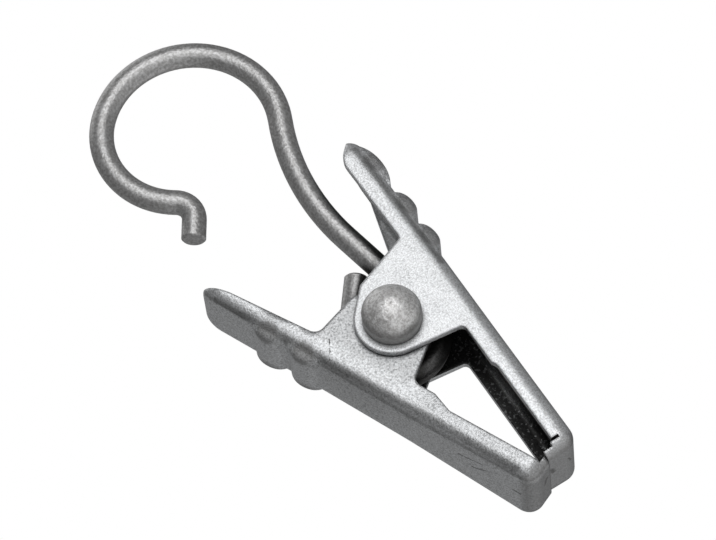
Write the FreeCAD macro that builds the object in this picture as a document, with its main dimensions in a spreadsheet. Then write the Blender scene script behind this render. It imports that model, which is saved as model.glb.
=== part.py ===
import FreeCAD, Part
import math
import os
import re

import Sketcher

# Curtain clip hook: two folded levers on a rivet, a spring that shuts them and a swivelling wire hook.
# Frame: origin at the centre of the hook's loop, +Z up, the wire in the XZ plane, the rivet along Y.
# A lever is drawn in its own axes: x out of its web, y along the rivet, z from its tip to its thumb end.

SIZES = {
    # Wire hook, measured along the middle of the wire.
    "wire_diameter": 2.1,
    "wire_end_chamfer": 0.15,
    "eye_radius": 3.7,
    "eye_turn": 230.0,
    "tail_length": 5.4,
    "shank_length": 9.6,
    "neck_radius": 20.6,
    "neck_turn": 35.8,
    "loop_radius": 7.64,
    "loop_turn": 160.0,
    "curl_radius": 6.67,
    "curl_turn": 99.5,
    "tip_bend_radius": 1.65,
    "tip_bend_turn": 88.8,
    "tip_length": 1.95,
    # Both levers.
    "sheet_thickness": 0.6,
    "bend_radius": 1.3,
    "jaw_tilt": 11.7,
    "ear_straight": 5.6,
    "flare_radius": 30.0,
    "lip_gap": 0.06,
    "ear_clearance": 0.1,
    "trim_margin": 1.0,
    # Outer lever.
    "outer_web": 6.75,
    "outer_jaw_reach": 17.6,
    "outer_thumb_reach": 16.7,
    "outer_ear_width": 7.8,
    "outer_tip_width": 8.0,
    "outer_thumb_width": 7.5,
    "outer_tip_corner": 1.4,
    "outer_thumb_corner": 2.0,
    "outer_flange": 2.2,
    "outer_thumb_flange": 2.35,
    "outer_lobe": 3.2,
    "outer_ear_front": 3.8,
    "outer_ear_back": 5.9,
    "outer_ear_shoulder": 4.0,
    "outer_ear_drop": 0.6,
    "outer_ear_fillet": 0.5,
    "outer_end_round": 2.0,
    "slit_place": 0.95,
    "slit_width": 0.25,
    "step_start": 7.9,
    "step_run": 0.5,
    "step_depth": 0.25,
    "runout_start": 8.0,
    "runout_end": 13.5,
    "runout_depth": 0.75,
    # Inner lever.
    "inner_web": 6.32,
    "inner_jaw_reach": 17.9,
    "inner_thumb_reach": 15.45,
    "inner_tip_width": 8.1,
    "inner_thumb_width": 7.1,
    "inner_tip_corner": 1.45,
    "inner_thumb_corner": 2.0,
    "inner_flange": 2.02,
    "inner_thumb_flange": 1.2,
    "inner_lobe": 3.45,
    "inner_ear_front": 4.45,
    "inner_ear_back": 4.6,
    "inner_ear_shoulder": 4.1,
    "inner_ear_drop": 0.0,
    "inner_ear_fillet": 0.9,
    "inner_end_round": 2.6,
    "gusset_depth": 0.7,
    "gusset_start": 6.6,
    "gusset_end": 8.5,
    # Ribs pressed across the thumb ends.
    "rib_chord": 3.3,
    "rib_pitch": 3.55,
    "rib_end_round": 0.9,
    "rib_end_step": 0.05,
    "outer_rib_place": 4.9,
    "outer_rib_half": 3.2,
    "outer_rib_height": 0.75,
    "inner_rib_place": 4.85,
    "inner_rib_half": 2.65,
    "inner_rib_height": 0.55,
    "crown_chord": 5.0,
    "crown_height": 0.55,
    "crown_gap": 0.3,
    # Rivet.
    "rivet_shank_radius": 1.4,
    "rivet_clearance": 0.05,
    "head_radius": 2.5,
    "head_rim": 1.1,
    "head_dome": 1.9,
    "tail_radius": 2.1,
    "tail_rim": 0.4,
    "tail_dome": 0.6,
    # Spring.
    "spring_wire_radius": 0.4,
    "spring_radius": 2.0,
    "spring_span": 3.2,
    "spring_coils": 1.0,
    "spring_leg_lean": 37.6,
    "spring_leg_clearance": 0.03,
}

# Width over the inner ears: the room between the outer ears less a clearance each side.
INNER_EAR_WIDTH = "(outer_ear_width - 2 * sheet_thickness - 2 * ear_clearance)"
# The rivet axis stands below and beside the loop, where the shank and the neck leave it.
RIVET_X = "loop_radius * cos(neck_turn) - neck_radius * (1 - cos(neck_turn)) - eye_radius"
RIVET_Z = "-shank_length - (neck_radius + loop_radius) * sin(neck_turn)"

doc = FreeCAD.newDocument("curtain_clip_hook")
sheet = doc.addObject("Spreadsheet::Sheet", "Sizes")
for row, (alias, size) in enumerate(SIZES.items(), start=1):
    sheet.set("A%d" % row, alias)
    sheet.set("B%d" % row, str(size))
    sheet.setAlias("B%d" % row, alias)
doc.recompute()


def bound(expression):
    """Put the sheet's name before each of its aliases in an expression."""
    aliases = r"\b(%s)\b" % "|".join(SIZES)
    return re.sub(aliases, r"Sizes.\1", expression)


def measure(expression):
    """The value of an expression on the sheet."""
    return float(sheet.evalExpression(bound(expression)))


def bind(target, **expressions):
    """Bind properties to expressions on the sheet; a double underscore stands for a dot."""
    for name, expression in expressions.items():
        target.setExpression(name.replace("__", "."), bound(expression))


def new_body(label):
    body = doc.addObject("PartDesign::Body", label)
    body.Label = label
    return body


def origin_feature(body, role):
    return next(feature for feature in body.Origin.OriginFeatures if feature.Role == role)


def new_sketch(body, name, role, offset=None):
    """A sketch on one of the body's own planes, moved along that plane's normal by an expression."""
    sketch = body.newObject("Sketcher::SketchObject", name)
    sketch.AttachmentSupport = [(origin_feature(body, role), "")]
    sketch.MapMode = "FlatFace"
    if offset:
        bind(sketch, AttachmentOffset__Base__z=offset)
    return sketch


def drive(sketch, kind, where, expression):
    """Add a named dimension to a sketch and bind it to the sheet."""
    value = measure(expression)
    if kind == "Angle":
        value = math.radians(value)
    number = sketch.addConstraint(Sketcher.Constraint(kind, *where, value))
    name = "size_%d" % len([taken for taken in sketch.Constraints if taken.Name])
    sketch.renameConstraint(number, name)
    sketch.setExpression("Constraints." + name, bound(expression))


def pin(sketch, element, point, corner):
    """Fix a point of a sketch element at a pair of expressions."""
    drive(sketch, "DistanceX", (-1, 1, element, point), corner[0])
    drive(sketch, "DistanceY", (-1, 1, element, point), corner[1])


def place(corner):
    return FreeCAD.Vector(measure(corner[0]), measure(corner[1]), 0)


def draw_lines(sketch, corners, closed):
    """Draw straight lines through corners and give the number of the first one."""
    first = sketch.GeometryCount
    points = [place(corner) for corner in corners]
    ends = points[1:] + points[:1] if closed else points[1:]
    for start, end in zip(points, ends):
        sketch.addGeometry(Part.LineSegment(start, end), False)
    last = sketch.GeometryCount - 1
    for line in range(first, last):
        sketch.addConstraint(Sketcher.Constraint("Coincident", line, 2, line + 1, 1))
    if closed:
        sketch.addConstraint(Sketcher.Constraint("Coincident", last, 2, first, 1))
    for number, corner in enumerate(corners[:len(ends)]):
        pin(sketch, first + number, 1, corner)
    if not closed:
        pin(sketch, last, 2, corners[-1])
    return first


def round_corner(sketch, line, radius):
    """Round the corner where a line of an outline starts."""
    arc = sketch.GeometryCount
    sketch.fillet(line, 1, measure(radius), True, True)
    drive(sketch, "Radius", (arc,), radius)


def draw_circle(sketch, centre, radius):
    circle = Part.Circle(place(centre), FreeCAD.Vector(0, 0, 1), measure(radius))
    element = sketch.addGeometry(circle, False)
    pin(sketch, element, 3, centre)
    drive(sketch, "Radius", (element,), radius)


def draw_lobe(sketch, first, last, radius):
    """Close an open outline round the sketch's origin: a tangent line, an arc and a tangent line."""
    start = sketch.Geometry[last].EndPoint
    end = sketch.Geometry[first].StartPoint
    size = measure(radius)
    from_angle = math.atan2(start.y, start.x) + math.acos(size / start.Length)
    to_angle = math.atan2(end.y, end.x) - math.acos(size / end.Length) + 2 * math.pi
    circle = Part.Circle(FreeCAD.Vector(), FreeCAD.Vector(0, 0, 1), size)
    leave, meet = circle.value(from_angle), circle.value(to_angle)
    line_in = sketch.addGeometry(Part.LineSegment(start, leave), False)
    arc = sketch.addGeometry(Part.ArcOfCircle(circle, from_angle, to_angle), False)
    line_out = sketch.addGeometry(Part.LineSegment(meet, end), False)
    sketch.addConstraint(Sketcher.Constraint("Coincident", last, 2, line_in, 1))
    sketch.addConstraint(Sketcher.Constraint("Coincident", arc, 3, -1, 1))
    sketch.addConstraint(Sketcher.Constraint("Tangent", line_in, 2, arc, 1))
    sketch.addConstraint(Sketcher.Constraint("Tangent", arc, 2, line_out, 1))
    sketch.addConstraint(Sketcher.Constraint("Coincident", line_out, 2, first, 1))
    drive(sketch, "Radius", (arc,), radius)


def add_feature(body, kind, name, profile, **settings):
    feature = body.newObject("PartDesign::" + kind, name)
    feature.Profile = profile
    for setting, value in settings.items():
        setattr(feature, setting, value)
    return feature


def edges_where(shape, test):
    return ["Edge%d" % number for number, edge in enumerate(shape.Edges, start=1) if test(edge)]


def add_fillet(body, name, base, test, radius):
    doc.recompute()
    fillet = body.newObject("PartDesign::Fillet", name)
    fillet.Base = (base, edges_where(base.Shape, test))
    bind(fillet, Radius=radius)
    return fillet


def near(value, target, slack=1e-4):
    return abs(value - target) < slack


def spans(edge, axis, low, high):
    """True where an edge's box runs from low to high along an axis."""
    box = edge.BoundBox
    return near(getattr(box, axis + "Min"), low) and near(getattr(box, axis + "Max"), high)


def cut_volume(body, feature):
    """Recompute and stop if a cutting feature took nothing away."""
    doc.recompute()
    if not feature.Shape.Volume < feature.BaseFeature.Shape.Volume:
        raise RuntimeError(feature.Label + " cuts nothing")
    body.Tip = feature


def draw_plan(body, side, ear_width, level, inset):
    """The lever's plan at a level, an inset in from its outside: wide tip, waisted ears, round thumb end."""
    half = {name: "(%s_%s_width / 2 - %s)" % (side, name, inset) for name in ("tip", "thumb")}
    half["ear"] = "(%s / 2 - %s)" % (ear_width, inset)
    stations = [("tip", "%s - %s_jaw_reach" % (inset, side)), ("ear", "-ear_straight"),
                ("ear", "ear_straight"), ("thumb", "%s_thumb_reach - %s" % (side, inset))]
    corners = [(half[name], z) for name, z in stations]
    corners += [("-" + half[name], z) for name, z in reversed(stations)]
    plan = new_sketch(body, "%s_plan_%d" % (side, len(body.Group)), "YZ_Plane", level)
    first = draw_lines(plan, corners, closed=True)
    tip_corners, flare_starts, thumb_corners = (0, 7), (1, 2, 5, 6), (3, 4)
    for number in tip_corners:
        round_corner(plan, first + number, "%s_tip_corner - %s" % (side, inset))
    for number in flare_starts:
        round_corner(plan, first + number, "flare_radius")
    for number in thumb_corners:
        round_corner(plan, first + number, "%s_thumb_corner - %s" % (side, inset))
    return plan


def lever_blank(body, side, ear_width):
    """The folded channel: a block on the lever's plan, hollowed from below, rounded at its bends."""
    web = side + "_web"
    inside = "(%s - sheet_thickness)" % web
    plan = draw_plan(body, side, ear_width, web, "0")
    block = add_feature(body, "Pad", side + "_block", plan, Reversed=True)
    bind(block, Length="%s + %s_lobe + trim_margin" % (web, side))
    top = measure(web)
    add_fillet(body, side + "_bends", block, lambda edge: spans(edge, "X", top, top), "bend_radius")
    hollow = add_feature(body, "Pocket", side + "_hollow",
                         draw_plan(body, side, ear_width, inside, "sheet_thickness"), Type="ThroughAll")
    cut_volume(body, hollow)
    ceiling = measure(inside)
    add_fillet(body, side + "_inner_bends", hollow, lambda edge: spans(edge, "X", ceiling, ceiling),
               "bend_radius - sheet_thickness")


def lever_profile(body, side, front):
    """Trim the channel's walls to the flanges, the ears and the lip, from the flange's front edge on."""
    web = side + "_web"
    flange = "%s - %s_flange" % (web, side)
    thumb_flange = "%s - %s_thumb_flange" % (web, side)
    inside = web + " - sheet_thickness"
    tip = "-%s_jaw_reach" % side
    thumb = side + "_thumb_reach"
    lip = "%s_jaw_reach * tan(jaw_tilt) + lip_gap / 2 / cos(jaw_tilt)" % side
    low, high = "-%s_lobe - 3 * trim_margin" % side, web + " + 3 * trim_margin"
    bottom, top = tip + " - 3 * trim_margin", thumb + " + 3 * trim_margin"
    corners = front + [
        (flange, tip + " + sheet_thickness"), (lip, tip + " + sheet_thickness"),
        (lip, tip + " - trim_margin"), (web + " + trim_margin", tip + " - trim_margin"),
        (web + " + trim_margin", thumb + " + trim_margin"),
        (inside, thumb + " + trim_margin"), (inside, thumb),
        (thumb_flange, "%s - %s_end_round" % (thumb, side)), (flange, side + "_ear_back"),
        ("-%s_ear_drop" % side, side + "_ear_shoulder")]
    profile = new_sketch(body, side + "_profile", "XZ_Plane")
    draw_lines(profile, [(low, bottom), (high, bottom), (high, top), (low, top)], closed=True)
    first = draw_lines(profile, corners, closed=False)
    last = first + len(corners) - 2
    draw_lobe(profile, first, last, side + "_lobe")
    ear_back = last
    end_curve = last - 1
    round_corner(profile, end_curve, side + "_end_round")
    round_corner(profile, ear_back, side + "_ear_fillet")
    round_corner(profile, first, side + "_ear_fillet")
    trim = add_feature(body, "Pocket", side + "_trim", profile, Type="ThroughAll", Midplane=True)
    cut_volume(body, trim)


def lever_hole(body, side):
    hole = new_sketch(body, side + "_rivet_hole", "XZ_Plane")
    draw_circle(hole, ("0", "0"), "rivet_shank_radius + rivet_clearance")
    bore = add_feature(body, "Pocket", side + "_bore", hole, Type="ThroughAll", Midplane=True)
    cut_volume(body, bore)


def bulge_radius(chord, height):
    """Radius of an arc on a chord in the middle of the sheet, with its crest a height above the web."""
    rise = "(%s + sheet_thickness / 2)" % height
    return "(%s ^ 2 / 4 + %s ^ 2) / (2 * %s)" % (chord, rise, rise)


def add_bulges(body, side, name, places, chord, height):
    """Press bulges of one size outwards across the web: full outside, hollow inside."""
    web = side + "_web"
    middle = web + " - sheet_thickness / 2"
    radius = bulge_radius(chord, height)
    outside = new_sketch(body, side + "_" + name, "XZ_Plane")
    inside = new_sketch(body, side + "_" + name + "_hollow", "XZ_Plane")
    for centre_z in places:
        centre = ("%s + %s - %s" % (web, height, radius), centre_z)
        low = (middle, "%s - %s / 2" % (centre_z, chord))
        high = (middle, "%s + %s / 2" % (centre_z, chord))
        crest = ("%s + %s" % (web, height), centre_z)
        arc = outside.addGeometry(Part.Arc(place(low), place(crest), place(high)), False)
        base = outside.addGeometry(Part.LineSegment(place(high), place(low)), False)
        outside.addConstraint(Sketcher.Constraint("Coincident", arc, 2, base, 1))
        outside.addConstraint(Sketcher.Constraint("Coincident", base, 2, arc, 1))
        pin(outside, base, 1, high)
        pin(outside, base, 2, low)
        drive(outside, "Radius", (arc,), radius)
        draw_circle(inside, centre, radius + " - sheet_thickness")
    press = add_feature(body, "Pad", side + "_" + name + "_press", outside, Midplane=True)
    bind(press, Length="2 * %s_rib_half" % side)
    hollow = add_feature(body, "Pocket", side + "_" + name + "_recess", inside, Midplane=True)
    bind(hollow, Length="2 * (%s_rib_half - sheet_thickness)" % side)
    cut_volume(body, hollow)


def round_bulge_ends(body, side):
    """Round both ends of the bulges down to the web, by one cut along the lever on each side."""
    web = side + "_web"
    half = side + "_rib_half"
    over = web + " + rib_end_round + rib_end_step"
    above = over + " + trim_margin"
    shoulders = new_sketch(body, side + "_rib_shoulders", "XY_Plane")
    for way in ("", "-"):
        start = "%s(%s - rib_end_round - trim_margin)" % (way, half)
        end = way + half
        clear = "%s(%s + trim_margin)" % (way, half)
        first = draw_lines(shoulders, [(above, start), (over, start), (over, end), (web, end), (web, clear),
                                       (above, clear)], closed=True)
        crest_corner = 2
        round_corner(shoulders, first + crest_corner, "rib_end_round")
    rounding = add_feature(body, "Pocket", side + "_rib_ends", shoulders, Type="ThroughAll", Midplane=True)
    cut_volume(body, rounding)


def seat_on_rivet(target, turn_y, turn_z="0"):
    """Put a sub-part's own origin on the rivet axis, turned about Z and then about Y."""
    bind(target, Placement__Base__x=RIVET_X, Placement__Base__z=RIVET_Z)
    spin = FreeCAD.Rotation(FreeCAD.Vector(0, 0, 1), measure(turn_z))
    lean = FreeCAD.Rotation(FreeCAD.Vector(0, 1, 0), measure(turn_y))
    target.Placement.Rotation = lean * spin


def outer_jaw():
    """The lever with its ears outside, slit beside its lip.

    Its front flange steps back towards the tip, and its rear flange runs out towards the thumb end.
    """
    body = new_body("outer_jaw")
    lever_blank(body, "outer", "outer_ear_width")
    lever_profile(body, "outer", [("outer_web - outer_flange", "-outer_ear_front")])
    lever_hole(body, "outer")
    slit = new_sketch(body, "outer_slit", "XZ_Plane")
    slit_front = "slit_place - outer_jaw_reach"
    draw_lines(slit, [("0", slit_front),
                      ("outer_web - bend_radius", slit_front),
                      ("outer_web - bend_radius", slit_front + " + slit_width"),
                      ("0", slit_front + " + slit_width")], closed=True)
    cut_volume(body, add_feature(body, "Pocket", "outer_slits", slit, Type="ThroughAll", Midplane=True))
    runout = new_sketch(body, "outer_runout", "XZ_Plane")
    flange = "outer_web - outer_flange"
    edge = "outer_web - runout_depth"
    end = "outer_thumb_reach + trim_margin"
    low = flange + " - trim_margin"
    draw_lines(runout, [(low, "runout_start"), (flange, "runout_start"), (edge, "runout_end"), (edge, end),
                        (low, end)], closed=True)
    cut_volume(body, add_feature(body, "Pocket", "outer_runout_cut", runout, Type="ThroughAll"))
    step = new_sketch(body, "outer_step", "XZ_Plane")
    stepped = flange + " + step_depth"
    step_end = "-step_start - step_run"
    draw_lines(step, [(low, "-step_start"), (flange, "-step_start"), (stepped, step_end),
                      (stepped, slit_front), (low, slit_front)], closed=True)
    cut_volume(body, add_feature(body, "Pocket", "outer_step_cut", step, Type="ThroughAll", Reversed=True))
    add_bulges(body, "outer", "ribs", ["outer_rib_place", "outer_rib_place + rib_pitch"],
               "rib_chord", "outer_rib_height")
    crown_place = "outer_rib_place + rib_pitch + rib_chord / 2 + crown_gap + crown_chord / 2"
    add_bulges(body, "outer", "crown", [crown_place], "crown_chord", "crown_height")
    round_bulge_ends(body, "outer")
    seat_on_rivet(body, "jaw_tilt")
    return body


def inner_jaw():
    """The lever with its ears inside, waisted to fit between the outer ears."""
    body = new_body("inner_jaw")
    lever_blank(body, "inner", INNER_EAR_WIDTH)
    flange = "inner_web - inner_flange"
    gusset = flange + " - gusset_depth"
    lever_profile(body, "inner", [(gusset, "-inner_ear_front"), (gusset, "-gusset_start"),
                                  (flange, "-gusset_end")])
    lever_hole(body, "inner")
    add_bulges(body, "inner", "ribs", ["inner_rib_place", "inner_rib_place + rib_pitch"],
               "rib_chord", "inner_rib_height")
    round_bulge_ends(body, "inner")
    seat_on_rivet(body, "-jaw_tilt", "180")
    return body


def pivot_rivet():
    """A turned rivet: domed head towards -Y, plain shank, peened tail towards +Y."""
    body = new_body("pivot_rivet")
    seat = "outer_ear_width / 2"
    corners = [("0", "-%s - head_rim - head_dome" % seat), ("0", "%s + tail_rim + tail_dome" % seat),
               ("tail_radius", seat + " + tail_rim"), ("tail_radius", seat),
               ("rivet_shank_radius", seat), ("rivet_shank_radius", "-" + seat),
               ("head_radius", "-" + seat), ("head_radius", "-%s - head_rim" % seat)]
    half_section = new_sketch(body, "rivet_section", "XY_Plane")
    draw_domed_section(half_section, corners)
    turned = add_feature(body, "Revolution", "rivet_turned", half_section, Angle=360.0)
    turned.ReferenceAxis = (origin_feature(body, "Y_Axis"), [""])
    seat_on_rivet(body, "0")
    return body


def draw_domed_section(sketch, corners):
    """Half of a rivet's section: its axis, its straight sides and a dome centred on the axis at each end."""
    axis = draw_lines(sketch, corners[:2], closed=False)
    first = draw_lines(sketch, corners[2:], closed=False)
    last = sketch.GeometryCount - 1
    add_dome(sketch, (first, 1), (axis, 2))
    add_dome(sketch, (last, 2), (axis, 1))


def add_dome(sketch, rim_end, pole_end):
    """An arc from the rim to the pole, with its centre on the axis."""
    rim, pole = sketch.getPoint(*rim_end), sketch.getPoint(*pole_end)
    rise = pole.y - rim.y
    radius = (rim.x ** 2 + rise ** 2) / (2 * abs(rise))
    centre = FreeCAD.Vector(0, pole.y - math.copysign(radius, rise), 0)
    circle = Part.Circle(centre, FreeCAD.Vector(0, 0, 1), radius)
    ends = [(circle.parameter(rim), rim_end), (circle.parameter(pole), pole_end)]
    ends.sort()
    dome = sketch.addGeometry(Part.ArcOfCircle(circle, ends[0][0], ends[1][0]), False)
    for point, (angle, end) in enumerate(ends, start=1):
        sketch.addConstraint(Sketcher.Constraint("Coincident", dome, point, *end))
    sketch.addConstraint(Sketcher.Constraint("PointOnObject", dome, 3, -2))


def torsion_spring():
    """A coil on the rivet with a straight leg to the inside of each thumb web."""
    coil_path = doc.addObject("Part::Helix", "spring_coil_path")
    turns = "(spring_coils + (180 - 2 * spring_leg_lean) / 360)"
    bind(coil_path, Radius="spring_radius", Height="spring_span", Pitch="spring_span / " + turns)
    section = doc.addObject("Part::Circle", "spring_section")
    bind(section, Radius="spring_wire_radius", Placement__Base__x="spring_radius")
    section.Placement.Rotation = FreeCAD.Rotation(FreeCAD.Vector(1, 0, 0), 90)
    doc.recompute()
    coil = doc.addObject("Part::Sweep", "spring_coil")
    coil.Sections = [section]
    coil.Spine = (coil_path, ["Edge1"])
    coil.Solid = True
    coil.Frenet = True
    pieces = [coil]
    end_turn = "(180 - 2 * spring_leg_lean)"
    for side, angle, height, way in (("outer", "0", "0", -1), ("inner", end_turn, "spring_span", 1)):
        lean = "(spring_leg_lean - jaw_tilt)"
        room = "(%s_web - sheet_thickness - spring_leg_clearance" % side
        room += " - (spring_radius + spring_wire_radius) * cos(%s))" % lean
        leg = doc.addObject("Part::Cylinder", "spring_leg_" + side)
        bind(leg, Radius="spring_wire_radius", Height="%s / sin(%s)" % (room, lean),
             Placement__Base__x="spring_radius * cos(%s)" % angle,
             Placement__Base__y="spring_radius * sin(%s)" % angle, Placement__Base__z=height)
        turned = math.radians(measure(angle))
        along = FreeCAD.Vector(-math.sin(turned), math.cos(turned), 0) * way
        leg.Placement.Rotation = FreeCAD.Rotation(FreeCAD.Vector(0, 0, 1), along)
        pieces.append(leg)
    spring = doc.addObject("Part::MultiFuse", "torsion_spring")
    spring.Label = "torsion_spring"
    spring.Shapes = pieces
    bind(spring, Placement__Base__x=RIVET_X, Placement__Base__z=RIVET_Z)
    bind(spring, Placement__Base__y="-spring_span / 2")
    lay_down = FreeCAD.Rotation(FreeCAD.Vector(1, 0, 0), -90)
    start = FreeCAD.Rotation(FreeCAD.Vector(0, 0, 1), measure("spring_leg_lean"))
    spring.Placement.Rotation = lay_down * start
    return spring


class WirePath:
    """Draws a bent wire's middle line as lines and arcs that meet without a kink."""

    def __init__(self, sketch, point, heading):
        self.sketch = sketch
        self.point = point
        self.heading = heading
        self.last = None

    def join(self, element):
        """Join an element's start to the end of the one before."""
        if self.last is not None:
            end = 2 if self.last[1] else 1
            start = 2 if element[1] is False else 1
            self.sketch.addConstraint(Sketcher.Constraint("Tangent", self.last[0], end, element[0], start))
        self.last = element

    def run(self, length):
        way = FreeCAD.Vector(math.cos(self.heading), math.sin(self.heading), 0)
        end = self.point + way * measure(length)
        line = self.sketch.addGeometry(Part.LineSegment(self.point, end), False)
        self.join((line, True))
        drive(self.sketch, "Distance", (line, 1, line, 2), length)
        self.point = end
        return line

    def bend(self, radius, turn, left):
        """An arc of a radius through a number of degrees, to the left or to the right."""
        side = 1 if left else -1
        angle = math.radians(measure(turn))
        normal = FreeCAD.Vector(-math.sin(self.heading), math.cos(self.heading), 0) * side
        centre = self.point + normal * measure(radius)
        begin = math.atan2(-normal.y, -normal.x)
        circle = Part.Circle(centre, FreeCAD.Vector(0, 0, 1), measure(radius))
        low, high = (begin, begin + angle) if left else (begin - angle, begin)
        arc = self.sketch.addGeometry(Part.ArcOfCircle(circle, low, high), False)
        self.join((arc, left))
        drive(self.sketch, "Radius", (arc,), radius)
        drive(self.sketch, "Angle", (arc,), turn)
        self.heading += side * angle
        self.point = circle.value(begin + side * angle)
        return arc


def wire_hook():
    """One wire bent into a tail, an eye, a shank, a neck, a loop that curls in and a turned-out tip."""
    body = new_body("wire_hook")
    path = new_sketch(body, "hook_path", "XZ_Plane")
    meet = math.radians(-measure("eye_turn"))
    heading = meet + math.pi / 2
    tail_end = FreeCAD.Vector(measure(RIVET_X), measure(RIVET_Z), 0)
    tail_end += FreeCAD.Vector(math.cos(meet), math.sin(meet), 0) * measure("eye_radius")
    tail_end -= FreeCAD.Vector(math.cos(heading), math.sin(heading), 0) * measure("tail_length")
    wire = WirePath(path, tail_end, heading)
    wire.run("tail_length")
    wire.bend("eye_radius", "eye_turn", left=True)
    shank = wire.run("shank_length")
    wire.bend("neck_radius", "neck_turn", left=False)
    loop = wire.bend("loop_radius", "loop_turn", left=True)
    wire.bend("curl_radius", "curl_turn", left=True)
    wire.bend("tip_bend_radius", "tip_bend_turn", left=False)
    wire.run("tip_length")
    path.addConstraint(Sketcher.Constraint("Vertical", shank))
    path.addConstraint(Sketcher.Constraint("Coincident", loop, 3, -1, 1))
    doc.recompute()
    section = body.newObject("Sketcher::SketchObject", "hook_section")
    section.AttachmentSupport = [(path, "Edge1")]
    section.MapMode = "NormalToEdge"
    draw_circle(section, ("0", "0"), "wire_diameter / 2")
    doc.recompute()
    pipe = add_feature(body, "AdditivePipe", "hook_wire", section)
    pipe.Spine = (path, ["Edge%d" % number for number in range(1, path.GeometryCount + 1)])
    doc.recompute()
    chamfer = body.newObject("PartDesign::Chamfer", "hook_wire_ends")
    flat_ends = [face for face in pipe.Shape.Faces if face.Surface.TypeId == "Part::GeomPlane"]
    rims = [face.Edges[0].CenterOfMass for face in flat_ends]
    chamfer.Base = (pipe, edges_where(pipe.Shape, lambda edge: any(
        (edge.CenterOfMass - rim).Length < 1e-6 for rim in rims)))
    bind(chamfer, Size="wire_end_chamfer")
    body.Tip = chamfer
    return body


def export(parts):
    """Check every object of the document, then write each sub-part to its own file."""
    doc.recompute()
    for item in doc.Objects:
        if "Invalid" in item.State or "Error" in item.State:
            raise RuntimeError("failed: " + item.Label)
    for part in parts:
        if part.Shape.isNull() or not part.Shape.isValid():
            raise RuntimeError("bad shape: " + part.Label)
    os.makedirs("parts", exist_ok=True)
    for part in parts:
        part.Shape.exportStep(os.path.join("parts", part.Label + ".step"))
        print(part.Label, len(part.Shape.Solids), round(part.Shape.Volume, 2), part.Shape.BoundBox)


export([outer_jaw(), inner_jaw(), pivot_rivet(), torsion_spring(), wire_hook()])
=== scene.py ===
import math

import bmesh
import bpy
from mathutils import Matrix, Vector


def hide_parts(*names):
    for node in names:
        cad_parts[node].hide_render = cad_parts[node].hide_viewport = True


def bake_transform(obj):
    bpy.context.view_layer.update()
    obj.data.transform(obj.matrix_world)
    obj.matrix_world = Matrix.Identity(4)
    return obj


# A sprung curtain clip with a swivelling wire hook, in grainy silver-plated steel.
# The clip hangs from its loop, so the camera looks up at it and the floor lies below.

MM = 0.001

# The photograph's frame and the camera that fits it.
IMAGE_WIDTH = 716
IMAGE_HEIGHT = 540
AIM = Vector((0.0, 0.0, -18.0)) * MM
AIM_PIXEL = (338.7, 266.7)
AZIMUTH = 17.26
ELEVATION = -21.01
ROLL = -48.18
PIXELS_PER_MM = 11.982
DISTANCE = 0.4392
SENSOR_WIDTH = 36.0
NEAREST_SEEN = 0.01

# Scratches and dark spots on the levers: from, to and width, in millimetres.
INNER_MARKS = [
    ((-5.44, -1.14, -37.77), (-5.26, -1.41, -38.64), 0.10),
    ((-5.26, -1.41, -38.64), (-4.96, -1.78, -40.10), 0.12),
    ((-5.17, -0.15, -39.07), (-4.90, -0.90, -40.34), 0.13),
    ((-4.35, -0.39, -43.03), (-4.21, -0.41, -43.70), 0.18),
    ((-6.22, -3.20, -23.58), (-7.47, -3.01, -24.90), 0.10),
    ((-2.01, -1.19, -44.53), (-2.25, -0.60, -44.50), 0.30),
]
OUTER_MARKS = [
    ((0.57, -1.18, -44.48), (0.86, -0.43, -44.47), 0.16),
    ((-1.07, -0.91, -44.16), (-0.85, -0.30, -44.20), 0.35),
]

# A mark is full within this share of its width, and wavers by an amount in waves of a size, in millimetres.
MARK_CORE = 0.2
WAVER_SIZE = 0.5
WAVER = 0.35

# The ends of the levers' pressed ribs, in millimetres. The sheet runs out softly within a reach of them, and
# painted shade darkens their faces.
INNER_RIB_ENDS = [(x, y, z) for x, z in ((-9.15, -19.2), (-8.45, -22.7)) for y in (-2.65, 2.65)]
OUTER_RIB_ENDS = [(x, y, z) for x, z in ((7.9, -14.4), (7.0, -19.2), (6.3, -22.7)) for y in (-3.2, 3.2)]
RIB_REACH = 2.4
RIB_FACE = 1.3

# Painted shade darkens the levers' bends along a path, on both sides of the clip, in millimetres.
INNER_CREASE = [(-10.17, 2.88, -14.1), (-7.33, 2.86, -26.0), (-5.17, 3.26, -35.5), (-3.85, 3.62, -42.9)]
OUTER_CREASE = [(7.48, 3.65, -12.6), (5.13, 3.65, -25.2)]
CREASE_WIDTH = 0.52

# A painted highlight: the inner lever's dulling is lifted along a path beside its bend, on both sides, in
# millimetres.
INNER_PAINTED_HIGHLIGHT = [(-8.3, 3.22, -19.0), (-4.62, 3.22, -32.8)]
PAINTED_HIGHLIGHT_WIDTH = 1.3

# Painted shade darkens the levers' tips between these heights, in millimetres.
TIP_START = -43.3
TIP_END = -44.3

# Painted shade in the levers' hollows is full below the first height and paler above the second, in
# millimetres.
JAW_HOLLOW = -27.5
THUMB_HOLLOW = -22.0
THUMB_PALER = 0.65

# The levers are dulled round the rivet's head, out to a reach in millimetres.
RIVET_HEAD = (-1.4, -4.0, -26.1)
RUB_REACH = 10.0

# How far a surface faces along the rivet: where a bend's dark share has risen, where the flange takes over,
# and where the rivet's dark rim ends.
BEND_RISE = 0.16
FLANGE_START = 0.35
FLANGE_FULL = 0.85
RIM_DARK = 0.30
RIM_CLEAR = 0.66

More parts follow.
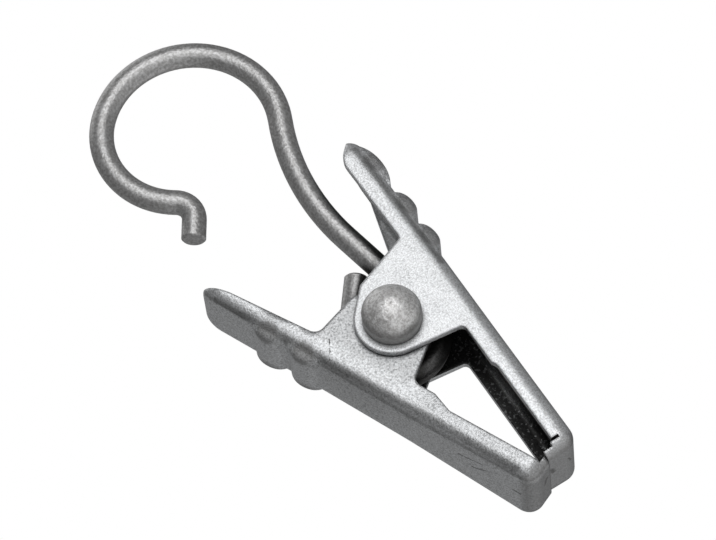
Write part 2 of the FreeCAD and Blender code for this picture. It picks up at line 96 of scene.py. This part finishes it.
# Sizes of the finishes' grain, clouds, flecks and specks, in millimetres, and the noise that a grain spans.
SHEET_GRAIN = 0.13
SHEET_CLOUDS = 1.8
SHEET_FLECKS = 0.19
SHEET_SPECKS = 0.26
WIRE_GRAIN = 0.22
WIRE_CLOUDS = 1.2
RIVET_GRAIN = 0.16
RIVET_MOTTLE = 0.40
SPRING_GRAIN = 0.12
SPRING_CLOUDS = 0.8
FLOOR_CLOUDS = 400.0
GRAIN_SPAN = (0.30, 0.70)
FLECK_SPAN = (0.48, 0.68)
SPECK_SPAN = (0.58, 0.66)
MOTTLE_SPAN = (0.36, 0.64)

# How far a hollow's walls may stand, and the radius of eased edges, in millimetres.
HOLLOW_REACH = 9.0
RIVET_HOLLOW_REACH = 1.4
SHEET_EDGE = 0.35
RIB_EDGE = 0.9
WIRE_EDGE = 0.15
RIVET_EDGE = 0.2
SPRING_EDGE = 0.1

# The spring's copy merges corners closer than a gap, and is shaded smooth up to an angle in degrees.
MERGE_GAP = 1e-7
SMOOTH_ANGLE = 40

# Studio: a floor below the camera, and round soft lights with their direction from the clip, distance, size
# and power.
FLOOR_LEVEL = -0.30
FLOOR_SIZE = 8.0
SOFT_LIGHTS = [
    ("key", (0.24, -0.93, 0.24), 0.6, 0.50, 0.62),
    ("fill", (-0.02, -0.99, -0.02), 0.6, 0.80, 1.35),
    ("behind", (-0.39, 0.89, 0.21), 0.9, 1.40, 0.46),
    ("overhead", (0.10, 0.20, 0.97), 0.8, 0.80, 0.95),
]

# The room is dim, and the pale floor throws light up from steep directions below.
ROOM_GLOW = 0.16
FLOOR_GLOW = 0.60
SLIGHT_DOWN = -0.40
STEEP_DOWN = -0.80


def view_axes():
    """The camera's right, up and forward directions."""
    azimuth, elevation, roll = (math.radians(angle) for angle in (AZIMUTH, ELEVATION, ROLL))
    forward = Vector((math.sin(azimuth) * math.cos(elevation),
                      math.cos(azimuth) * math.cos(elevation),
                      -math.sin(elevation)))
    level = forward.cross(Vector((0, 0, 1))).normalized()
    rise = level.cross(forward)
    right = math.cos(roll) * level + math.sin(roll) * rise
    up = right.cross(forward)
    return right, up, forward


def place_camera():
    """Stand the camera where the aim falls on its pixel of the photograph."""
    right, up, forward = view_axes()
    pixel = MM / PIXELS_PER_MM
    across = (IMAGE_WIDTH / 2 - AIM_PIXEL[0]) * pixel
    down = (IMAGE_HEIGHT / 2 - AIM_PIXEL[1]) * pixel
    centre = AIM + right * across - up * down
    data = bpy.data.cameras.new("photo_camera")
    data.sensor_width = SENSOR_WIDTH
    data.lens = SENSOR_WIDTH * PIXELS_PER_MM / MM * DISTANCE / IMAGE_WIDTH
    data.clip_start = NEAREST_SEEN
    camera = bpy.data.objects.new("photo_camera", data)
    turn = Matrix((right, up, -forward)).transposed().to_4x4()
    camera.matrix_world = Matrix.Translation(centre - forward * DISTANCE) @ turn
    bpy.context.scene.collection.objects.link(camera)
    bpy.context.scene.camera = camera


class Value:
    """A node's output that can be used in a Python expression."""

    def __init__(self, tree, socket):
        self.tree = tree
        self.socket = socket

    def __add__(self, other):
        return self.tree.maths("ADD", self, other)

    def __sub__(self, other):
        return self.tree.maths("SUBTRACT", self, other)

    def __rsub__(self, other):
        return self.tree.maths("SUBTRACT", other, self)

    def __mul__(self, other):
        return self.tree.maths("MULTIPLY", self, other)

    __radd__ = __add__
    __rmul__ = __mul__


class Tree:
    """A node tree that is filled from Python expressions."""

    def __init__(self, tree):
        self.nodes = tree.nodes
        self.links = tree.links

    def node(self, kind, settings=None, output=0, **sockets):
        """Add a node, set its properties, feed its inputs and give one of its outputs."""
        node = self.nodes.new(kind)
        for name, setting in (settings or {}).items():
            setattr(node, name, setting)
        for name, value in sockets.items():
            self.feed(self.find(node, name), value)
        return Value(self, node.outputs[output])

    def find(self, node, name):
        """A node's input by name, or the input at a number after a leading letter."""
        if name[0] == "n" and name[1:].isdigit():
            return node.inputs[int(name[1:])]
        return node.inputs[name.replace("_", " ")]

    def feed(self, socket, value):
        if isinstance(value, Value):
            self.links.new(value.socket, socket)
        else:
            socket.default_value = value

    def maths(self, operation, first, second):
        return self.node("ShaderNodeMath", {"operation": operation}, n0=first, n1=second)


class Finish(Tree):
    """A material built from nodes, ending in one Principled shader. Its sizes are in millimetres."""

    def __init__(self, name):
        self.material = bpy.data.materials.new(name)
        self.material.use_nodes = True
        super().__init__(self.material.node_tree)
        self.shader = next(node for node in self.nodes if node.type == "BSDF_PRINCIPLED")
        self.place = self.node("ShaderNodeTexCoord", output="Object")

    def noise(self, size, detail):
        """Cloudy noise whose features are a size across."""
        return self.node("ShaderNodeTexNoise", Vector=self.place, Scale=1.0 / (size * MM), Detail=detail)

    def ramp(self, value, low, high):
        """0 below low, 1 above high, and smooth between."""
        return self.node("ShaderNodeMapRange", {"interpolation_type": "SMOOTHSTEP"}, Value=value,
                         From_Min=low, From_Max=high)

    def blend(self, share, first, second):
        """A colour between two colours."""
        return self.node("ShaderNodeMix", {"data_type": "RGBA"}, output=2, n0=share, n6=first, n7=second)

    def layered(self, colour, layers):
        """A colour with others laid over it in turn, each by its share."""
        for share, over in layers:
            colour = self.blend(share, colour, over)
        return colour

    def vector(self, operation, first, second, output="Vector"):
        return self.node("ShaderNodeVectorMath", {"operation": operation}, output=output, n0=first, n1=second)

    def wobbled(self, size, amount):
        """The object's coordinates pushed to and fro by noise."""
        push = self.node("ShaderNodeTexNoise", output="Color", Vector=self.place, Scale=1.0 / (size * MM))
        push = self.vector("SUBTRACT", push, (0.5, 0.5, 0.5))
        return self.vector("ADD", self.place, self.vector("MULTIPLY", push, Vector.Fill(3, amount * MM)))

    def scratch(self, place, start, end, width):
        """1 along a line from start to end, 0 beyond its width."""
        start, end = Vector(start) * MM, Vector(end) * MM
        run = end - start
        from_start = self.vector("SUBTRACT", place, start)
        along = self.vector("DOT_PRODUCT", from_start, run, output="Value")
        share = self.node("ShaderNodeMath", {"operation": "DIVIDE", "use_clamp": True}, n0=along,
                          n1=run.length_squared)
        foot = self.node("ShaderNodeVectorMath", {"operation": "SCALE"}, n0=run, Scale=share)
        gap = self.vector("DISTANCE", from_start, foot, output="Value")
        return 1 - self.ramp(gap, MARK_CORE * width * MM, width * MM)

    def scratches(self, marks):
        """Every mark of a list, wavering a little."""
        place = self.wobbled(WAVER_SIZE, WAVER)
        masks = [self.scratch(place, *mark) for mark in marks]
        worn = masks[0]
        for mask in masks[1:]:
            worn = self.maths("MAXIMUM", worn, mask)
        return worn

    def near(self, points, reach):
        """1 within half a reach of any of some points, 0 beyond the reach from all of them."""
        gaps = [self.vector("DISTANCE", self.place, Vector(point) * MM, output="Value") for point in points]
        closest = gaps[0]
        for gap in gaps[1:]:
            closest = self.maths("MINIMUM", closest, gap)
        return 1 - self.ramp(closest, reach / 2 * MM, reach * MM)

    def height(self):
        """How high the place lies, in metres."""
        return self.node("ShaderNodeSeparateXYZ", output="Z", Vector=self.place)

    def sideways(self):
        """1 where the surface faces along the rivet, 0 where it faces across it."""
        facing = self.node("ShaderNodeTexCoord", output="Normal")
        along = self.node("ShaderNodeSeparateXYZ", output="Y", Vector=facing)
        return self.node("ShaderNodeMath", {"operation": "ABSOLUTE"}, n0=along)

    def bends(self, start):
        """1 along the sheet's bends, where the surface turns from the web to the flanges, 0 elsewhere."""
        sideways = self.sideways()
        flange = self.ramp(sideways, FLANGE_START, FLANGE_FULL)
        return self.ramp(sideways, start, start + BEND_RISE) * (1 - flange)

    def recess(self, reach, dark, open_air):
        """1 where the surface is shut in on most sides within a reach, 0 where it faces open air."""
        air = self.node("ShaderNodeAmbientOcclusion", output="AO", Distance=reach * MM)
        return 1 - self.ramp(air, dark, open_air)

    def soft_edges(self, radius):
        """The surface's normal, eased round bends and cut edges."""
        return self.node("ShaderNodeBevel", {"samples": 8}, Radius=radius * MM)

    def bump(self, height, depth, strength, normal):
        return self.node("ShaderNodeBump", Height=height, Distance=depth * MM, Strength=strength,
                         Normal=normal)

    def set(self, **sockets):
        for name, value in sockets.items():
            self.feed(self.find(self.shader, name), value)
        return self.material


def grey(level, warmth=0.0):
    """A nearly neutral colour, a little warmer or cooler."""
    return (level * (1 + warmth), level, level * (1 - warmth), 1.0)


# What lies over the plating: dull rubbed metal, dark flecks, scratches, and painted shade along the bends and
# creases, on rib ends and tips, round the rivet's rim, where the rivet is shut in and in the hollows.
RUBBED = grey(0.42, -0.01)
FLECK = grey(0.30, -0.02)
BEND_SHADE = grey(0.10, 0.03)
CREASE_SHADE = grey(0.07, 0.03)
SCRATCH_SHADE = grey(0.10, 0.02)
PAINTED_SHADE = grey(0.16, 0.03)
RIM_SHADE = grey(0.14, 0.03)
RIVET_CONTACT_SHADOW = grey(0.04, 0.03)
HOLLOW_SHADE = grey(0.02, 0.04)


def both_sides(path, width):
    """Marks along a path of points, and along its mirror image across the clip."""
    marks = []
    for (x, y, z), (end_x, end_y, end_z) in zip(path, path[1:]):
        for side in (-1, 1):
            marks.append(((x, side * y, z), (end_x, side * end_y, end_z), width))
    return marks


def plated_sheet(name, light, fleck_share, dulled, bend_start, marks, rib_ends, crease, painted_highlight=None):
    """Silver-plated pressed sheet: fine bright grain, dark flecks and scratches, with painted shade in the
    hollows, on the rib ends, at the tips and along the bends, and a painted highlight beside a bend where one
    is given.
    """
    finish = Finish(name)
    grain = finish.noise(SHEET_GRAIN, detail=1.0)
    clouds = finish.noise(SHEET_CLOUDS, detail=3.0)
    flecks = finish.ramp(finish.noise(SHEET_FLECKS, detail=1.5), *FLECK_SPAN)
    specks = finish.ramp(finish.noise(SHEET_SPECKS, detail=1.5), *SPECK_SPAN)
    worn = finish.scratches(marks)
    creased = finish.scratches(both_sides(crease, CREASE_WIDTH))
    rubbed = finish.near([RIVET_HEAD], RUB_REACH) * dulled
    if painted_highlight:
        # A painted highlight: the dulling is lifted along a path beside the bend.
        rubbed = rubbed * (1 - finish.scratches(both_sides(painted_highlight, PAINTED_HIGHLIGHT_WIDTH)))
    run_out = finish.near(rib_ends, RIB_REACH)
    rib_faces = finish.near(rib_ends, RIB_FACE)
    bent = finish.bends(bend_start) * (1 - run_out * 0.8)
    height_up = finish.height()
    tips = 1 - finish.ramp(height_up, TIP_END * MM, TIP_START * MM)
    hollow = 1 - THUMB_PALER * finish.ramp(height_up, JAW_HOLLOW * MM, THUMB_HOLLOW * MM)
    shut_in = finish.recess(HOLLOW_REACH, 0.38, 0.74) * (0.97 - specks * 0.25) * hollow
    plating = finish.blend(finish.ramp(grain, *GRAIN_SPAN), grey(0.66 * light, -0.012), grey(light, -0.02))
    # Painted shade over the plating: along the bends and creases, on the rib ends, at the tips and in the
    # hollows.
    colour = finish.layered(plating, [
        (rubbed, RUBBED),
        (flecks * (clouds * 0.8 + rubbed + 0.2) * fleck_share, FLECK),
        (bent * (clouds * 0.5 + 0.22), BEND_SHADE),
        (creased * (clouds * 0.4 + 0.28), CREASE_SHADE),
        (worn * 0.75, SCRATCH_SHADE),
        (rib_faces * (clouds * 0.3 + 0.42), PAINTED_SHADE),
        (tips * 0.5, PAINTED_SHADE),
        (shut_in, HOLLOW_SHADE),
    ])
    relief = grain * 0.8 + clouds * 0.2 - flecks * (0.5 * fleck_share) - worn
    roughness = 0.36 + clouds * 0.12 + worn * 0.2
    rounded = finish.soft_edges(run_out * RIB_EDGE + SHEET_EDGE)
    return finish.set(Base_Color=colour, Metallic=0.8, Roughness=roughness,
                      Normal=finish.bump(relief, 0.04, 0.45, rounded))


def plated_wire():
    """Silver-plated drawn wire: the same grain on a darker skin, with painted shade where it is shut in."""
    finish = Finish("plated_wire")
    grain = finish.noise(WIRE_GRAIN, detail=1.5)
    clouds = finish.noise(WIRE_CLOUDS, detail=3.0)
    colour = finish.blend(finish.ramp(grain, *GRAIN_SPAN), grey(0.40, 0.01), grey(0.62))
    # Painted shade where the wire is shut in.
    colour = finish.blend(finish.recess(HOLLOW_REACH, 0.45, 0.80) * 0.95, colour, HOLLOW_SHADE)
    relief = grain * 0.7 + clouds * 0.3
    roughness = 0.34 + clouds * 0.12
    rounded = finish.soft_edges(WIRE_EDGE)
    return finish.set(Base_Color=colour, Metallic=0.85, Roughness=roughness,
                      Normal=finish.bump(relief, 0.06, 0.8, rounded))


def rivet_steel():
    """Tumbled rivet: mottled with shallow dents, with painted shade round its rim and a painted contact
    shadow where it is shut in.
    """
    finish = Finish("rivet_steel")
    grain = finish.noise(RIVET_GRAIN, detail=1.5)
    mottle = finish.noise(RIVET_MOTTLE, detail=2.5)
    shade = finish.ramp(mottle * 0.5 + grain * 0.5, *MOTTLE_SPAN)
    rim = 1 - finish.ramp(finish.sideways(), RIM_DARK, RIM_CLEAR)
    shut_in = finish.recess(RIVET_HOLLOW_REACH, 0.35, 0.85)
    steel = finish.blend(shade, grey(0.58, 0.015), grey(1.0))
    # Painted shade round the steep rim, and a painted contact shadow where the head is shut in.
    colour = finish.layered(steel, [(rim * 0.7, RIM_SHADE), (shut_in * 0.9, RIVET_CONTACT_SHADOW)])
    relief = grain * 0.4 + mottle * 0.6
    roughness = 0.40 + mottle * 0.14
    rounded = finish.soft_edges(RIVET_EDGE)
    return finish.set(Base_Color=colour, Metallic=0.75, Roughness=roughness,
                      Normal=finish.bump(relief, 0.10, 0.9, rounded))


def spring_wire():
    """Drawn spring wire: dark grey, finely grained."""
    finish = Finish("spring_wire")
    grain = finish.noise(SPRING_GRAIN, detail=2.0)
    clouds = finish.noise(SPRING_CLOUDS, detail=2.0)
    colour = finish.blend(clouds, grey(0.20, 0.02), grey(0.42, 0.02))
    rounded = finish.soft_edges(SPRING_EDGE)
    return finish.set(Base_Color=colour, Metallic=1.0, Roughness=0.3 + grain * 0.2,
                      Normal=finish.bump(grain, 0.03, 0.5, rounded))


def pale_floor():
    """A floor of even pale light, with faint clouds, that no lamp's edge shows on."""
    finish = Finish("pale_floor")
    clouds = finish.noise(FLOOR_CLOUDS, detail=2.0)
    pale = finish.blend(clouds, grey(0.78), grey(0.84))
    return finish.set(Base_Color=grey(0.0), Roughness=1.0, Specular_IOR_Level=0.0, Emission_Color=pale,
                      Emission_Strength=1.0)


def lay_floor():
    """A plain floor that is seen only by the camera. The room's light stands for what it throws back."""
    half = FLOOR_SIZE / 2
    corners = [(x * half, y * half, FLOOR_LEVEL) for x, y in ((-1, -1), (1, -1), (1, 1), (-1, 1))]
    mesh = bpy.data.meshes.new("floor")
    mesh.from_pydata(corners, [], [(0, 1, 2, 3)])
    mesh.materials.append(pale_floor())
    floor = bpy.data.objects.new("floor", mesh)
    bpy.context.scene.collection.objects.link(floor)
    floor.visible_glossy = False
    floor.visible_diffuse = False
    floor.visible_shadow = False


def add_soft_light(name, towards, distance, size, power):
    """A round soft light that stands in a direction from the clip and faces it."""
    data = bpy.data.lights.new(name, "AREA")
    data.shape = "DISK"
    data.size = size
    data.energy = power
    light = bpy.data.objects.new(name, data)
    direction = Vector(towards).normalized()
    light.location = AIM + direction * distance
    light.rotation_euler = direction.to_track_quat("Z", "Y").to_euler()
    light.visible_camera = False
    bpy.context.scene.collection.objects.link(light)


def light_room():
    """A dim room, brighter from below, with a white backdrop for the camera alone."""
    world = bpy.data.worlds.new("studio")
    world.use_nodes = True
    room = Tree(world.node_tree)
    direction = room.node("ShaderNodeTexCoord", output="Generated")
    rise = room.node("ShaderNodeSeparateXYZ", output="Z", Vector=direction)
    glow = room.node("ShaderNodeMapRange", Value=rise, From_Min=STEEP_DOWN, From_Max=SLIGHT_DOWN,
                     To_Min=FLOOR_GLOW, To_Max=ROOM_GLOW)
    surround = room.node("ShaderNodeBackground", Color=grey(1.0), Strength=glow)
    backdrop = room.node("ShaderNodeBackground", Color=grey(1.0))
    seen = room.node("ShaderNodeLightPath", output="Is Camera Ray")
    shown = room.node("ShaderNodeMixShader", n0=seen, n1=surround, n2=backdrop)
    output = next(node for node in room.nodes if node.type == "OUTPUT_WORLD")
    room.feed(output.inputs["Surface"], shown)
    bpy.context.scene.world = world
    bpy.context.scene.view_settings.view_transform = "Standard"


def twisting_spring(frame):
    """The spring as a merged, smoothly shaded copy of its mesh, which stands in for the hidden CAD node. one
    leg stays with the clip, the other goes with the inner lever.
    """
    coil = bmesh.new()
    coil.from_mesh(frame["nodes"]["torsion_spring"].data)
    bmesh.ops.remove_doubles(coil, verts=coil.verts, dist=MERGE_GAP)
    coil.verts.index_update()
    corners = [vertex.co.copy() for vertex in coil.verts]
    faces = [[vertex.index for vertex in face.verts] for face in coil.faces]
    coil.free()
    mesh = bpy.data.meshes.new("twisting_spring")
    mesh.from_pydata(corners, [], faces)
    mesh.shade_smooth()
    mesh.set_sharp_from_angle(angle=math.radians(SMOOTH_ANGLE))
    mesh.materials.append(spring_wire())
    spring = bpy.data.objects.new("twisting_spring", mesh)
    bpy.context.scene.collection.objects.link(spring)
    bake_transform(spring)
    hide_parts("torsion_spring")


def dress(frame):
    """Give every CAD node that stays in view its finish."""
    outer = plated_sheet("plated_sheet_outer", light=0.97, fleck_share=0.45, dulled=0.05, bend_start=0.04,
                         marks=OUTER_MARKS, rib_ends=OUTER_RIB_ENDS, crease=OUTER_CREASE)
    # Painted shade: the inner lever's plating is set darker than the outer's.
    inner = plated_sheet("plated_sheet_inner", light=0.87, fleck_share=0.80, dulled=0.45, bend_start=0.28,
                         marks=INNER_MARKS, rib_ends=INNER_RIB_ENDS, crease=INNER_CREASE,
                         painted_highlight=INNER_PAINTED_HIGHLIGHT)
    finishes = {"outer_jaw": outer, "inner_jaw": inner, "pivot_rivet": rivet_steel(),
                "wire_hook": plated_wire()}
    for node, finish in finishes.items():
        for slot in frame["nodes"][node].material_slots:
            slot.material = finish


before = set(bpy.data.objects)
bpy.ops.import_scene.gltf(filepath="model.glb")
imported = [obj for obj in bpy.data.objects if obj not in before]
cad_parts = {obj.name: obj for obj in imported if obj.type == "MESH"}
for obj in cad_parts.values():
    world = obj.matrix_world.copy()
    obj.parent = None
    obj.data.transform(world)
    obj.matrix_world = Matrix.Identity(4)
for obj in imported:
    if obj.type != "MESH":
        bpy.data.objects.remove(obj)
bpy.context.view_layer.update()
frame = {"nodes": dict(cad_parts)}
place_camera()
lay_floor()
for row in SOFT_LIGHTS:
    add_soft_light(*row)
light_room()
dress(frame)
twisting_spring(frame)
